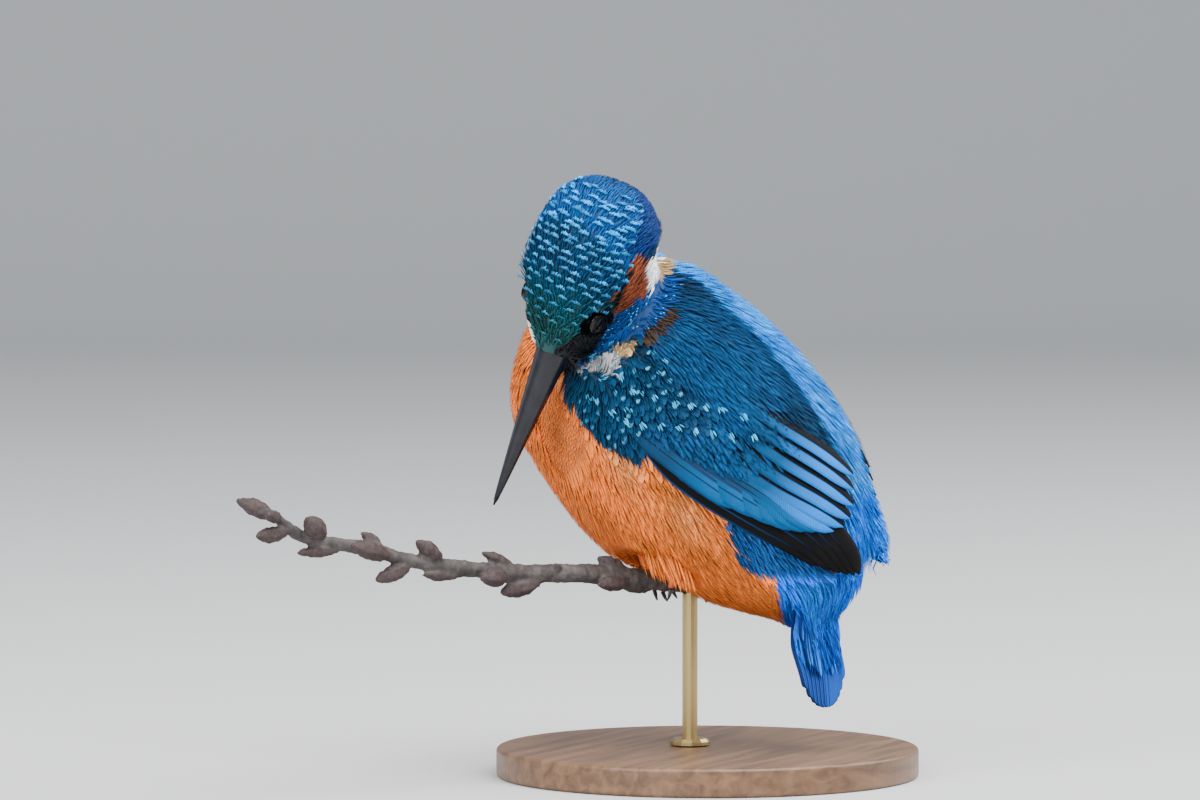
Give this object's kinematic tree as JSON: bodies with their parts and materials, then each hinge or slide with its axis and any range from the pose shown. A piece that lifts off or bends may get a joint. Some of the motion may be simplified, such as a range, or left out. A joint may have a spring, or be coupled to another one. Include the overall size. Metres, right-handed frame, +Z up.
{
  "type": "kingfisher model",
  "caption": "Life-size still model of a common kingfisher, hunched on a cut twig and looking down over its left side, on a plain base with a rod.",
  "frame": {"origin": "centre of the underside of the stand's round base", "axes": "+Z up, -Y the way the bird's body faces, +X the bird's left"},
  "size_m": [0.13, 0.1118, 0.1256],
  "materials": {
    "orange_feather": "matt orange body feathers",
    "blue_green_feather": "satin blue-green feathers",
    "azure_feather": "satin bright blue feathers",
    "black_horn": "smooth slate-black horn",
    "dark_eye": "wet dark brown",
    "red_foot_skin": "scaly orange-red skin",
    "willow_bark": "grey-brown willow bark",
    "oiled_wood": "oiled dark wood",
    "dull_brass": "dull brass"
  },
  "bodies": {
    "root": {"trunk": "orange_feather", "neck": "blue_green_feather", "head": "blue_green_feather", "wing_left": "blue_green_feather", "wing_right": "blue_green_feather", "tail": "azure_feather", "bill_upper": "black_horn", "bill_lower": "black_horn", "eye_left": "dark_eye", "eye_right": "dark_eye", "leg_left": "red_foot_skin", "leg_right": "red_foot_skin", "foot_left": "red_foot_skin", "foot_right": "red_foot_skin", "claw_left_1": "black_horn", "claw_left_2": "black_horn", "claw_left_3": "black_horn", "claw_left_4": "black_horn", "claw_right_1": "black_horn", "claw_right_2": "black_horn", "claw_right_3": "black_horn", "claw_right_4": "black_horn", "perch_twig": "willow_bark", "stand_base": "oiled_wood", "stand_rod": "dull_brass"}
  },
  "joints": []
}
